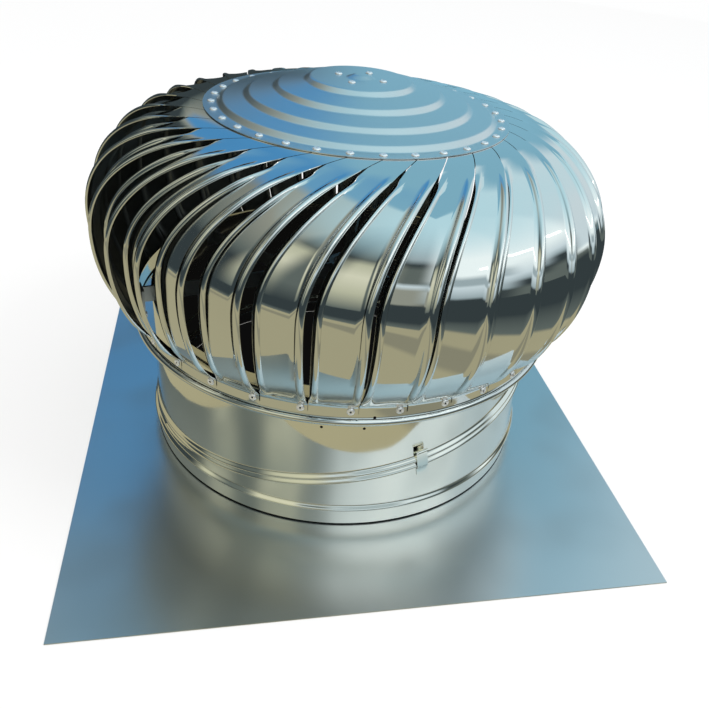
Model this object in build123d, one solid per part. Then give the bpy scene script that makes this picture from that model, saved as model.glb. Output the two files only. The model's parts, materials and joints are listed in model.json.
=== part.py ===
"""Turbine roof vent: a vaned head that spins on a fixed shaft, carried by a two-piece
variable-pitch neck on a flat roof plate. Millimetres, +Z up, origin on the plate's underside
at the neck axis."""
import os
from math import cos, pi, radians, sin

from build123d import *

# Roof plate
PLATE_WIDTH = 665.0
PLATE_DEPTH = 745.0
PLATE_SHEET = 1.0
COLLAR_HEIGHT = 18.0

# Neck: two gores that turn on each other in an oblique plane
NECK_RADIUS = 250.0
NECK_SHEET = 1.0
NECK_HEIGHT = 199.0
NECK_FIT = 0.5
LOWER_BEAD_HEIGHT = 28.0
BEAD_WIDTH = 8.0
BEAD_RISE = 4.0
SWIVEL_CLEARANCE = 2.74
SWIVEL_PITCH = 9.5
SWIVEL_HEADING = 5.4
SWIVEL_GAP = 0.3
SLEEVE_HEIGHT = 8.0

# Skirt ring at the foot of the head
SKIRT_OVERHANG = 17.0
SKIRT_SHEET = 0.8
SKIRT_FOOT_HEIGHT = 164.0
SKIRT_TOP_HEIGHT = 193.0
SKIRT_BEAD_WIDTH = 9.0
SKIRT_BEAD_RISE = 5.0

# Stepped cap
CAP_RADIUS = 181.0
CAP_SHEET = 1.0
CAP_RIM_HEIGHT = 430.0
RISER_RADII = (165.5, 135.5, 102.0, 66.0)
RISER_RUN = 6.5
RISER_RISE = 5.8
TREAD_SLOPE = 0.145
BOSS_RADIUS = 16.0
BOSS_RUN = 8.0
BOSS_RISE = 4.0

# Vanes: sheet strips with a rolled ridge along each long edge
VANE_COUNT = 32
VANE_SHEET = 0.8
VANE_SEAT = 0.3
VANE_BULGE = 44.0
VANE_BULGE_HEIGHT = 306.0
VANE_FOOT_HEIGHT = 189.0
VANE_FOOT_TURN = 52.3
VANE_FLANGE = 11.0
VANE_TAB = 15.0
VANE_SWEEP = 28.75
VANE_SWEEP_POWER = 2.1
VANE_HEADING = 208.7
VANE_SLIT = 1.2
VANE_GAP = 7.0
VANE_LIFT = 3.0
VANE_TUCK = 13.0
VANE_RIDGE_WIDTH = 9.0
VANE_RIDGE_RISE = 3.0
VANE_SPANS = 8
VANE_CHORD_SAG = 0.5
VANE_CLOSED_SHARE = 0.93
VANE_FADE_POWER = 0.7
RIDGE_GROWTH = 0.1
RIDGE_END = 0.88
RIDGE_RUNOUT = 0.08

# Rivet heads
RIVET_RADIUS = 3.8
RIVET_RISE = 2.0
RIVET_SIDES = 8
RIVET_SEAT = 0.15
RIVET_EDGE = 7.5
CAP_RIVET_INSET = 9.4

# Shaft, bearings and what holds them
SHAFT_RADIUS = 7.5
SHAFT_FIT = 0.05
BEARING_RADIUS = 17.5
BEARING_HEIGHT = 11.0
BEARING_SEAT = 0.03
HOUSING_WALL = 6.5
HOUSING_FLANGE_RADIUS = 40.0
HOUSING_FLANGE = 3.0
HOUSING_LIP = 1.0
HOUSING_BORE_RADIUS = 12.0
HOUSING_RIVET_RADIUS = 28.0
HOUSING_RIVET_HEADING = 60.0
HOUSING_RIVET_COUNT = 4
COLLAR_RADIUS = 13.0
COLLAR_DEPTH = 8.0
RETAINER_RADIUS = 10.5
RETAINER_SHEET = 1.2
END_PLAY = 0.2
NUT_SPAN = 24.0
NUT_SIDES = 6
NUT_HEIGHT = 9.0
SHAFT_TAIL = 6.0

# Flat-bar arms: three fixed in the neck, three that turn with the head
ARM_COUNT = 3
ARM_HEIGHT = 20.0
ARM_SHEET = 3.0
ARM_SEAT = 0.2
FOOT_WIDTH = 24.0
FOOT_DROP = 28.0
FOOT_SEAT = 0.6
BRACE_HEIGHT = 166.0
BRACE_HUB_RADIUS = 22.0
BRACE_HEADING = 15.0
SPIDER_HEADING = 75.0
SPIDER_CLEARANCE = 6.0
ARM_RIVET_SPACING = 14.0

VANE_PITCH = 360.0 / VANE_COUNT
NECK_BORE = NECK_RADIUS - NECK_SHEET
SWIVEL_SPREAD = NECK_RADIUS * sin(radians(SWIVEL_PITCH))
SWIVEL_LOW_SIDE = LOWER_BEAD_HEIGHT + BEAD_WIDTH / 2 + SWIVEL_CLEARANCE + BEAD_WIDTH
SWIVEL_HEIGHT = SWIVEL_LOW_SIDE + SWIVEL_SPREAD
SKIRT_RADIUS = NECK_RADIUS + SKIRT_OVERHANG
VANE_BULGE_RADIUS = SKIRT_RADIUS + VANE_BULGE
CAP_UNDERSIDE = CAP_RIM_HEIGHT - CAP_SHEET
VANE_FOOT_RADIUS = SKIRT_RADIUS + VANE_SHEET + VANE_SEAT + VANE_CHORD_SAG
VANE_TOP_HEIGHT = CAP_UNDERSIDE - VANE_SEAT - VANE_SHEET / 2
SPIDER_HEIGHT = NECK_HEIGHT + SPIDER_CLEARANCE


def ring(*section):
    """A solid of revolution about Z from (radius, height) corners."""
    corners = [(radius, 0, height) for radius, height in section]
    return revolve(make_face(Polyline(*corners, close=True)), Axis.Z)


def pressed_bead(radius, foot, width, rise):
    """Corners, from the foot upwards, of a ridge pressed outwards in a wall."""
    return [(radius, foot), (radius + rise, foot + width / 2), (radius, foot + width)]


def sheet_wall(outside, sheet):
    """A wall of revolution whose inner face follows its outer corners."""
    inside = [(radius - sheet, height) for radius, height in reversed(outside)]
    return ring(*outside, *inside)


def around(heading, shape):
    """A shape built along +X, turned about Z to a heading in degrees."""
    return Rot(0, 0, heading) * shape


# Roof plate with a turned-up collar that the neck slips over
collar_radius = NECK_BORE - NECK_FIT
base_plate = Pos(0, 0, PLATE_SHEET / 2) * Box(PLATE_WIDTH, PLATE_DEPTH, PLATE_SHEET)
base_plate -= Cylinder(collar_radius - PLATE_SHEET, 4 * PLATE_SHEET)
base_plate += ring(
    (collar_radius - PLATE_SHEET, 0),
    (collar_radius, 0),
    (collar_radius, COLLAR_HEIGHT),
    (collar_radius - PLATE_SHEET, COLLAR_HEIGHT),
)

# Swivel plane: rises towards its heading, so turning it tips the head
heading, pitch = radians(SWIVEL_HEADING), radians(SWIVEL_PITCH)
heading_x = (cos(heading), sin(heading), 0)
swivel_x = (cos(heading) * cos(pitch), sin(heading) * cos(pitch), sin(pitch))
swivel_z = (-cos(heading) * sin(pitch), -sin(heading) * sin(pitch), cos(pitch))
swivel = Plane((0, 0, SWIVEL_HEIGHT), swivel_x, swivel_z)


def level(height):
    """A horizontal plane whose X axis points along the swivel's heading."""
    return Plane((0, 0, height), heading_x, (0, 0, 1))


def gore(low, high):
    """A tube wall from one round section plane to another."""
    outer = loft([low * Circle(NECK_RADIUS), high * Circle(NECK_RADIUS)])
    inner = loft([low * Circle(NECK_BORE), high * Circle(NECK_BORE)])
    return outer - inner


# Lower gore: upright foot, leaning wall, rim bead and a sleeve that guides the upper gore
foot_bead = pressed_bead(NECK_RADIUS, LOWER_BEAD_HEIGHT - BEAD_WIDTH / 2, BEAD_WIDTH, BEAD_RISE)
lower_foot = sheet_wall([(NECK_RADIUS, PLATE_SHEET), *foot_bead], NECK_SHEET)
lower_rim = ring(
    (NECK_BORE, -BEAD_WIDTH),
    *pressed_bead(NECK_RADIUS, -BEAD_WIDTH, BEAD_WIDTH, BEAD_RISE),
    (NECK_BORE - NECK_FIT, 0),
    (NECK_BORE - NECK_FIT, SLEEVE_HEIGHT),
    (NECK_BORE - NECK_FIT - NECK_SHEET, SLEEVE_HEIGHT),
    (NECK_BORE - NECK_FIT - NECK_SHEET, -BEAD_WIDTH / 2),
)
lower_gore = gore(level(LOWER_BEAD_HEIGHT + BEAD_WIDTH / 2), swivel.offset(-BEAD_WIDTH))
lower_neck = lower_foot + lower_gore + swivel.location * lower_rim

# Upper gore: rim bead, leaning wall and an upright mouth
mouth_foot = SWIVEL_HEIGHT + SWIVEL_SPREAD + SWIVEL_GAP + 2 * BEAD_WIDTH
upper_rim = sheet_wall(pressed_bead(NECK_RADIUS, SWIVEL_GAP, BEAD_WIDTH, BEAD_RISE), NECK_SHEET)
upper_gore = gore(swivel.offset(SWIVEL_GAP + BEAD_WIDTH), level(mouth_foot))
upper_mouth = sheet_wall([(NECK_RADIUS, mouth_foot), (NECK_RADIUS, NECK_HEIGHT)], NECK_SHEET)
upper_neck = upper_mouth + upper_gore + swivel.location * upper_rim

# Skirt ring with a rolled lower bead
skirt_ring = sheet_wall(
    [
        *pressed_bead(SKIRT_RADIUS, SKIRT_FOOT_HEIGHT, SKIRT_BEAD_WIDTH, SKIRT_BEAD_RISE),
        (SKIRT_RADIUS, SKIRT_TOP_HEIGHT),
    ],
    SKIRT_SHEET,
)


def cap_section():
    """Corners of the cap's upper face, from the rim to the axis."""
    height = CAP_RIM_HEIGHT
    corners = [(CAP_RADIUS, height)]
    last_edge = RISER_RADII[0]
    for foot in RISER_RADII:
        height += (last_edge - foot) * TREAD_SLOPE
        corners.append((foot, height))
        height += RISER_RISE
        last_edge = foot - RISER_RUN
        corners.append((last_edge, height))
    boss_top = height + BOSS_RISE
    return [*corners, (BOSS_RADIUS, height), (BOSS_RADIUS - BOSS_RUN, boss_top), (0, boss_top)]


cap_top = cap_section()
cap_bottom = [(radius, height - CAP_SHEET) for radius, height in reversed(cap_top)]
top_cap = ring(*cap_top, *cap_bottom)
disc_height = CAP_RIM_HEIGHT + len(RISER_RADII) * RISER_RISE
disc_height += TREAD_SLOPE * (RISER_RADII[0] - RISER_RADII[-1] - (len(RISER_RADII) - 1) * RISER_RUN)
disc_underside = disc_height - CAP_SHEET


def fade(share):
    """How open the vane is at a share of its arc: closed at both ends."""
    return sin(pi * min(share / VANE_CLOSED_SHARE, 1.0)) ** VANE_FADE_POWER


def ridge_fade(share):
    """How tall the edge ridges are at a share of the vane's arc."""
    return max(0.0, min(1.0, share / RIDGE_GROWTH, (RIDGE_END - share) / RIDGE_RUNOUT))


def vane_wire(radius, height, tilt, sweep, share):
    """One cross-section of a vane. Tilt turns its normal up from level, and sweep is the
    heading of its leading edge past the foot, both in degrees."""
    opening = fade(share)
    ridge = VANE_RIDGE_RISE * ridge_fade(share)
    width = radians(VANE_PITCH) * radius - VANE_SLIT - (VANE_GAP - VANE_SLIT) * opening
    edge = width / 2
    band = edge - VANE_RIDGE_WIDTH
    crest = edge - VANE_RIDGE_WIDTH / 2
    middle = radians(sweep) - edge / radius
    out, up = cos(radians(tilt)), sin(radians(tilt))

    def corner(along, rise):
        lean = along / width + 0.5
        lift = (VANE_LIFT * lean - VANE_TUCK * (1 - lean)) * opening
        rise += lift - out * along**2 / (2 * radius)
        reach = radius + rise * out
        x = reach * cos(middle) - along * sin(middle)
        y = reach * sin(middle) + along * cos(middle)
        return (x, y, height + rise * up)

    top, bottom = VANE_SHEET / 2, -VANE_SHEET / 2
    outer = [(-edge, top), (-crest, top + ridge), (-band, top)]
    outer += [(band, top), (crest, top + ridge), (edge, top)]
    inner = [(edge, bottom), (band, bottom), (-band, bottom), (-edge, bottom)]
    return Wire.make_polygon([corner(along, rise) for along, rise in outer + inner])


def vane_strip():
    """A vane at heading zero: foot flange, bulging strip and a flat tab under the cap rim."""
    foot = radians(VANE_FOOT_TURN)
    low_run = (VANE_BULGE_RADIUS - VANE_FOOT_RADIUS) / (1 - cos(foot))
    low_rise = (VANE_BULGE_HEIGHT - VANE_FOOT_HEIGHT) / sin(foot)
    high_run = VANE_BULGE_RADIUS - CAP_RADIUS
    high_rise = VANE_TOP_HEIGHT - VANE_BULGE_HEIGHT
    rivet_turn = 90 + CAP_RIVET_INSET / radians(high_run)

    def sweep(turn):
        return VANE_SWEEP * (max(turn, 0) / rivet_turn) ** VANE_SWEEP_POWER

    flange_foot = VANE_FOOT_HEIGHT - VANE_FLANGE
    wires = [vane_wire(VANE_FOOT_RADIUS, flange_foot, 0, 0, 0)]
    for span in range(VANE_SPANS + 1):
        share = span / VANE_SPANS
        turn = -VANE_FOOT_TURN + share * (90 + VANE_FOOT_TURN)
        run, rise = (low_run, low_rise) if turn < 0 else (high_run, high_rise)
        radius = VANE_BULGE_RADIUS - run * (1 - cos(radians(turn)))
        height = VANE_BULGE_HEIGHT + rise * sin(radians(turn))
        tilt = turn / 2 if span == 0 else turn
        wires.append(vane_wire(radius, height, tilt, sweep(turn), share))
    tab_turn = 90 + VANE_TAB / radians(high_run)
    wires.append(vane_wire(CAP_RADIUS - VANE_TAB, VANE_TOP_HEIGHT, 90, sweep(tab_turn), 1))
    return Solid.make_loft(wires, ruled=True)


vane = vane_strip()
vanes = [around(VANE_HEADING + index * VANE_PITCH, vane) for index in range(VANE_COUNT)]


def rivet_head(rise=RIVET_RISE):
    """A rivet head that stands up from the XY plane."""
    return extrude(RegularPolygon(RIVET_RADIUS, RIVET_SIDES), rise)


def wall_rivet(radius, height):
    """A rivet head on the outside of an upright wall, at heading zero."""
    return Pos(radius + RIVET_SEAT, 0, height) * (Rot(0, 90, 0) * rivet_head())


# One rivet through the leading corner of each vane, at the skirt and at the cap
skirt_heading = VANE_HEADING - RIVET_EDGE / radians(VANE_FOOT_RADIUS)
cap_rivet_radius = CAP_RADIUS - CAP_RIVET_INSET
cap_heading = VANE_HEADING + VANE_SWEEP - RIVET_EDGE / radians(VANE_FOOT_RADIUS)
skirt_rivet = wall_rivet(VANE_FOOT_RADIUS + VANE_SHEET / 2, VANE_FOOT_HEIGHT - VANE_FLANGE / 2)
cap_rivet = Pos(cap_rivet_radius, 0, CAP_RIM_HEIGHT + RIVET_SEAT) * rivet_head()
skirt_rivets = [around(skirt_heading + k * VANE_PITCH, skirt_rivet) for k in range(VANE_COUNT)]
cap_rivets = [around(cap_heading + k * VANE_PITCH, cap_rivet) for k in range(VANE_COUNT)]

# Upper bearing in a flanged housing riveted under the cap's disc
housing_radius = BEARING_RADIUS + BEARING_SEAT + HOUSING_WALL
bearing_top = disc_underside - HOUSING_FLANGE - HOUSING_LIP
bearing_bottom = bearing_top - BEARING_HEIGHT
bearing_housing = ring(
    (HOUSING_BORE_RADIUS, disc_underside),
    (HOUSING_FLANGE_RADIUS, disc_underside),
    (HOUSING_FLANGE_RADIUS, disc_underside - HOUSING_FLANGE),
    (housing_radius, disc_underside - HOUSING_FLANGE),
    (housing_radius, bearing_bottom),
    (BEARING_RADIUS + BEARING_SEAT, bearing_bottom),
    (BEARING_RADIUS + BEARING_SEAT, bearing_top),
    (HOUSING_BORE_RADIUS, bearing_top),
)
housing_rivet = Pos(HOUSING_RIVET_RADIUS, 0, disc_height + RIVET_SEAT) * rivet_head()
housing_turns = [360 * k / HOUSING_RIVET_COUNT for k in range(HOUSING_RIVET_COUNT)]
housing_rivets = [around(HOUSING_RIVET_HEADING + turn, housing_rivet) for turn in housing_turns]


def bearing(bottom):
    """A sealed ball bearing as one ring."""
    bore = SHAFT_RADIUS + SHAFT_FIT
    top = bottom + BEARING_HEIGHT
    return ring((bore, bottom), (BEARING_RADIUS, bottom), (BEARING_RADIUS, top), (bore, top))


upper_bearing = bearing(bearing_bottom)

# Lower hub and bearing at the middle of the head's spider arms
lower_bearing = bearing(SPIDER_HEIGHT + HOUSING_FLANGE)
lower_hub = ring(
    (HOUSING_BORE_RADIUS, SPIDER_HEIGHT),
    (housing_radius, SPIDER_HEIGHT),
    (housing_radius, SPIDER_HEIGHT + ARM_HEIGHT),
    (BEARING_RADIUS + BEARING_SEAT, SPIDER_HEIGHT + ARM_HEIGHT),
    (BEARING_RADIUS + BEARING_SEAT, SPIDER_HEIGHT + HOUSING_FLANGE),
    (HOUSING_BORE_RADIUS, SPIDER_HEIGHT + HOUSING_FLANGE),
)


def flat_arm(start, end, foot_drop):
    """A flat bar on edge along +X from its lower edge at zero, with its end bent to a foot."""
    bar = Pos((start + end) / 2, 0, ARM_HEIGHT / 2) * Box(end - start, ARM_SHEET, ARM_HEIGHT)
    foot_height = ARM_HEIGHT + foot_drop
    foot_middle = (ARM_HEIGHT - foot_drop) / 2
    foot = Pos(end - ARM_SHEET / 2, 0, foot_middle) * Box(ARM_SHEET, FOOT_WIDTH, foot_height)
    return bar + foot


skirt_bore = SKIRT_RADIUS - SKIRT_SHEET
spider_arm = Pos(0, 0, SPIDER_HEIGHT) * flat_arm(
    housing_radius + ARM_SEAT, skirt_bore - FOOT_SEAT, FOOT_DROP
)
brace_arm = Pos(0, 0, BRACE_HEIGHT) * flat_arm(
    BRACE_HUB_RADIUS + ARM_SEAT, NECK_BORE - FOOT_SEAT, 0
)
arm_headings = [360 * k / ARM_COUNT for k in range(ARM_COUNT)]
spider_arms = [around(SPIDER_HEADING + turn, spider_arm) for turn in arm_headings]
brace_arms = [around(BRACE_HEADING + turn, brace_arm) for turn in arm_headings]

# Rivet heads behind the spider's feet and outside the neck at the brace's feet
half_spacing = ARM_RIVET_SPACING / 2
spider_face = skirt_bore - FOOT_SEAT - ARM_SHEET - RIVET_SEAT
spider_rivet = Pos(spider_face, 0, SPIDER_HEIGHT - FOOT_DROP / 2) * (Rot(0, -90, 0) * rivet_head())
spider_pair = [Pos(0, side * half_spacing, 0) * spider_rivet for side in (-1, 1)]
spider_rivets = [
    around(SPIDER_HEADING + turn, rivet) for turn in arm_headings for rivet in spider_pair
]
brace_rivet = wall_rivet(NECK_RADIUS, BRACE_HEIGHT + ARM_HEIGHT / 2)
brace_side = half_spacing / radians(NECK_RADIUS)
brace_rivets = [
    around(BRACE_HEADING + turn + side * brace_side, brace_rivet)
    for turn in arm_headings
    for side in (-1, 1)
]

# Fixed shaft, clamped in the brace hub by a nut above and a nut below
brace_top = BRACE_HEIGHT + ARM_HEIGHT
shaft_bottom = BRACE_HEIGHT - NUT_HEIGHT - SHAFT_TAIL
shaft_length = bearing_top + END_PLAY + 2 * RETAINER_SHEET - shaft_bottom
shaft_bore = SHAFT_RADIUS + SHAFT_FIT
shaft = Pos(0, 0, shaft_bottom + shaft_length / 2) * Cylinder(SHAFT_RADIUS, shaft_length)
brace_hub = ring(
    (shaft_bore, BRACE_HEIGHT),
    (BRACE_HUB_RADIUS, BRACE_HEIGHT),
    (BRACE_HUB_RADIUS, brace_top),
    (shaft_bore, brace_top),
)
nut_section = RegularPolygon(NUT_SPAN / 2, NUT_SIDES, major_radius=False) - Circle(shaft_bore)
shaft_nut = extrude(nut_section, NUT_HEIGHT)
shaft_nuts = [Pos(0, 0, height) * shaft_nut for height in (BRACE_HEIGHT - NUT_HEIGHT, brace_top)]
shaft_collar = ring(
    (shaft_bore, bearing_bottom - END_PLAY - COLLAR_DEPTH),
    (COLLAR_RADIUS, bearing_bottom - END_PLAY - COLLAR_DEPTH),
    (COLLAR_RADIUS, bearing_bottom - END_PLAY),
    (shaft_bore, bearing_bottom - END_PLAY),
)
retaining_ring = ring(
    (shaft_bore, bearing_top + END_PLAY),
    (RETAINER_RADIUS, bearing_top + END_PLAY),
    (RETAINER_RADIUS, bearing_top + END_PLAY + RETAINER_SHEET),
    (shaft_bore, bearing_top + END_PLAY + RETAINER_SHEET),
)

nodes = {
    "base_plate": base_plate,
    "lower_neck": lower_neck,
    "upper_neck": upper_neck,
    "brace_hub": brace_hub,
    "brace_rivets": Compound(brace_rivets),
    "shaft": shaft,
    "shaft_nuts": Compound(shaft_nuts),
    "shaft_collar": shaft_collar,
    "retaining_ring": retaining_ring,
    "top_cap": top_cap,
    "skirt_ring": skirt_ring,
    "bearing_housing": bearing_housing,
    "housing_rivets": Compound(housing_rivets),
    "upper_bearing": upper_bearing,
    "lower_hub": lower_hub,
    "lower_bearing": lower_bearing,
    "spider_rivets": Compound(spider_rivets),
    "cap_rivets": Compound(cap_rivets),
    "skirt_rivets": Compound(skirt_rivets),
}
nodes |= {f"brace_arm_{k}": arm for k, arm in enumerate(brace_arms, 1)}
nodes |= {f"spider_arm_{k}": arm for k, arm in enumerate(spider_arms, 1)}
nodes |= {f"vane_{k:02d}": strip for k, strip in enumerate(vanes, 1)}

os.makedirs("parts", exist_ok=True)
for name, shape in nodes.items():
    export_step(shape, f"parts/{name}.step")
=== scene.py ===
"""Dresses the turbine roof vent with smooth vanes, rolled rings, rivets and sheet-steel finishes."""
import json
import logging
import math
from dataclasses import dataclass
from enum import Enum
from functools import partial

import bmesh
import bpy
from mathutils import Matrix, Vector


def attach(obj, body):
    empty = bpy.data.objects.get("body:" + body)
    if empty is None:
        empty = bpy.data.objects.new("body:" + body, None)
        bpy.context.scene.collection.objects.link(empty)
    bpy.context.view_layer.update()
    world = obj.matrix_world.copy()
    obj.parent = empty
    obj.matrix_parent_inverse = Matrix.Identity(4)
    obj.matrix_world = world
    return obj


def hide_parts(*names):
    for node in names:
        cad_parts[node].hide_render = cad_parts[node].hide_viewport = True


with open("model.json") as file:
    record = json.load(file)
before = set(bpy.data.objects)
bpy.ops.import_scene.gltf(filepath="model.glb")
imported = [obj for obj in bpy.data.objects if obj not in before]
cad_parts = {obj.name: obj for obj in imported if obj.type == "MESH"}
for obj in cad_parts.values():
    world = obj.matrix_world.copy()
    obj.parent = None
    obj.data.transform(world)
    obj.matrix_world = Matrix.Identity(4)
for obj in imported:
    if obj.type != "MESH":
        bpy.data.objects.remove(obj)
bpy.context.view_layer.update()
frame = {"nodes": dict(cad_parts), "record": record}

log = logging.getLogger("roof_vent")
MM = 0.001
WELD_REACH = 1e-6
SHEET_CREASE = math.radians(50)
SMUDGE_TINT = 0.82
SMUDGE_SCALE = 9.0
SMUDGE_EDGE = (0.45, 0.8)
BUMP_FILTER = 2.0

Point = tuple[float, float]
Triple = tuple[float, float, float]
Face = tuple[int, ...]


class Facing(Enum):
    """Which way a ring of rivet heads stands."""

    UP = 0.0
    OUTWARD = math.pi / 2


def in_metres(points: list[Vector]) -> list[Vector]:
    """The same points with millimetres turned into metres."""
    return [point * MM for point in points]


def joined(low: int, high: int, size: int) -> list[Face]:
    """Faces between two closed loops of corners.

    Args:
        low: Index of the first loop's first corner.
        high: Index of the second loop's first corner.
        size: Corners in each loop.

    Returns:
        One face for each side of the loops.
    """
    sides = [(k, (k + 1) % size) for k in range(size)]
    return [(low + k, low + after, high + after, high + k) for k, after in sides]


def mesh_piece(name: str, points: list[Vector], faces: list[Face]) -> bpy.types.Object:
    """Makes a smooth-shaded piece in the frame.

    Args:
        name: The piece's name.
        points: Corners in millimetres.
        faces: Corner indices of each face.

    Returns:
        The linked object, at the origin.
    """
    mesh = bpy.data.meshes.new(name)
    mesh.from_pydata([tuple(point) for point in in_metres(points)], [], faces)
    work = bmesh.new()
    work.from_mesh(mesh)
    bmesh.ops.remove_doubles(work, verts=work.verts, dist=WELD_REACH)
    bmesh.ops.recalc_face_normals(work, faces=work.faces)
    work.to_mesh(mesh)
    work.free()
    mesh.shade_smooth()
    mesh.set_sharp_from_angle(angle=SHEET_CREASE)
    piece = bpy.data.objects.new(name, mesh)
    bpy.context.scene.collection.objects.link(piece)
    return piece


def half_round(radius: float, foot: float, width: float, rise: float, steps: int = 10) -> list[Point]:
    """Corners of a rolled bead on a wall, from its foot upwards.

    Args:
        radius: The wall's radius.
        foot: Height of the bead's lower edge.
        width: How tall the bead is.
        rise: How far it stands out.
        steps: Straight runs around the bead.

    Returns:
        (radius, height) corners.
    """
    turns = [math.pi * step / steps for step in range(steps + 1)]
    return [(radius + rise * math.sin(t), foot + width * (1 - math.cos(t)) / 2) for t in turns]


def rounded(corners: list[Point], reach: float, steps: int = 4) -> list[Point]:
    """Softens a profile's inner corners as a press does.

    Args:
        corners: (radius, height) corners.
        reach: How far from a corner its rounding starts.
        steps: Straight runs in each rounding.

    Returns:
        The softened profile.
    """
    result = [corners[0]]
    for before, here, after in zip(corners, corners[1:], corners[2:]):
        a, b, c = Vector(before), Vector(here), Vector(after)
        start = b + (a - b).normalized() * min(reach, (a - b).length / 2)
        end = b + (c - b).normalized() * min(reach, (c - b).length / 2)
        for step in range(steps + 1):
            share = step / steps
            result.append(tuple(start.lerp(b, share).lerp(b.lerp(end, share), share)))
    return [*result, corners[-1]]


def feed(tree: bpy.types.NodeTree, sockets: bpy.types.NodeInputs, values: tuple[object, ...]) -> None:
    """Links or sets a node's inputs.

    Args:
        tree: The node's tree.
        sockets: Its inputs.
        values: A socket or a number for each.
    """
    for socket, value in zip(sockets, values):
        if isinstance(value, bpy.types.NodeSocket):
            tree.links.new(value, socket)
        else:
            socket.default_value = value


def worked_out(tree: bpy.types.NodeTree, operation: str, *values: object) -> bpy.types.NodeSocket:
    """A value worked out by a math node.

    Args:
        tree: The tree it belongs to.
        operation: What the node does.
        values: Sockets or numbers to work on.

    Returns:
        The value.
    """
    node = tree.nodes.new("ShaderNodeMath")
    node.operation = operation
    feed(tree, node.inputs, values)
    return node.outputs[0]


@dataclass(frozen=True)
class Finish:
    """A sheet-steel finish."""

    name: str
    colour: Triple
    roughness: float
    roughness_spread: float
    ripple_scale: float = 9.0
    ripple: float = 0.2
    smudge: float = 0.3
    grain_stretch: Triple = (1, 1, 1)
    grain: float = 0.0
    metallic: float = 1.0

    def material(self, marks: bpy.types.NodeTree) -> bpy.types.Material:
        """Builds the finish.

        Args:
            marks: The shared group of rolled grain, ripple and handling marks.

        Returns:
            The material.
        """
        material = bpy.data.materials.new(self.name)
        material.use_nodes = True
        tree = material.node_tree
        nodes, links = tree.nodes, tree.links
        shader = nodes["Principled BSDF"]
        shader.inputs["Metallic"].default_value = self.metallic
        place = nodes.new("ShaderNodeTexCoord")
        turn = nodes.new("ShaderNodeMapping")
        turn.inputs["Scale"].default_value = self.grain_stretch
        links.new(place.outputs["Object"], turn.inputs["Vector"])
        group = nodes.new("ShaderNodeGroup")
        group.node_tree = marks
        spots = (place.outputs["Object"], turn.outputs["Vector"])
        feed(tree, group.inputs, (*spots, self.ripple_scale, self.ripple, self.grain))
        tint = nodes.new("ShaderNodeMix")
        tint.data_type = "RGBA"
        tint.inputs["A"].default_value = (*self.colour, 1.0)
        tint.inputs["B"].default_value = (*[SMUDGE_TINT * part for part in self.colour], 1.0)
        smudge = group.outputs["Smudge"]
        links.new(worked_out(tree, "MULTIPLY", smudge, self.smudge), tint.inputs["Factor"])
        links.new(tint.outputs["Result"], shader.inputs["Base Color"])
        rough = worked_out(tree, "MULTIPLY_ADD", smudge, self.roughness_spread, self.roughness)
        links.new(rough, shader.inputs["Roughness"])
        bump = nodes.new("ShaderNodeBump")
        bump.inputs["Distance"].default_value = MM
        bump.inputs["Filter Width"].default_value = BUMP_FILTER
        links.new(group.outputs["Height"], bump.inputs["Height"])
        links.new(bump.outputs["Normal"], shader.inputs["Normal"])
        return material


MIRROR_SHEET = Finish("mirror_sheet", (0.80, 0.80, 0.78), 0.045, 0.05, ripple=1.0, smudge=0.15)
SATIN_PLATE = Finish("satin_plate", (0.66, 0.68, 0.69), 0.285, 0.06, ripple_scale=4.0, ripple=5.0, smudge=0.6)
SATIN_CAP = Finish("satin_cap", (0.76, 0.77, 0.77), 0.285, 0.05, ripple_scale=6.0)
# The neck's warm tint is partly the sheet's own colour and partly a painted warm reflection of the ground.
NECK_SHEET = Finish(
    "neck_sheet", (0.90, 0.88, 0.81), 0.055, 0.05, 5.0, 1.5, smudge=0.2, grain_stretch=(14, 14, 3), grain=2.0
)
# Dull reverse face of the vanes; its dark colour is painted shade for the inside of the head.
DULL_INSIDE_PAINTED_SHADE = Finish("dull_inside_painted_shade", (0.20, 0.20, 0.19), 0.42, 0.10)
# Near-black finish: painted shade in punched holes, rivet hollows and the gap under the neck's edge.
HOLLOW_PAINTED_SHADE = Finish("hollow_painted_shade", (0.02, 0.02, 0.02), 0.6, 0.1, ripple=0.0, smudge=0.0)
BAR_STEEL = Finish(
    "bar_steel", (0.50, 0.51, 0.51), 0.36, 0.12, 20.0, 0.3, smudge=0.5, grain_stretch=(6, 6, 180), grain=0.06
)
TURNED_STEEL = Finish(
    "turned_steel", (0.45, 0.45, 0.44), 0.38, 0.10, 20.0, 0.1, grain_stretch=(4, 4, 600), grain=0.05
)
BRIGHT_RIVET = Finish("bright_rivet", (0.92, 0.92, 0.92), 0.30, 0.10, 60.0, 0.1, smudge=0.2, metallic=0.75)


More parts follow.
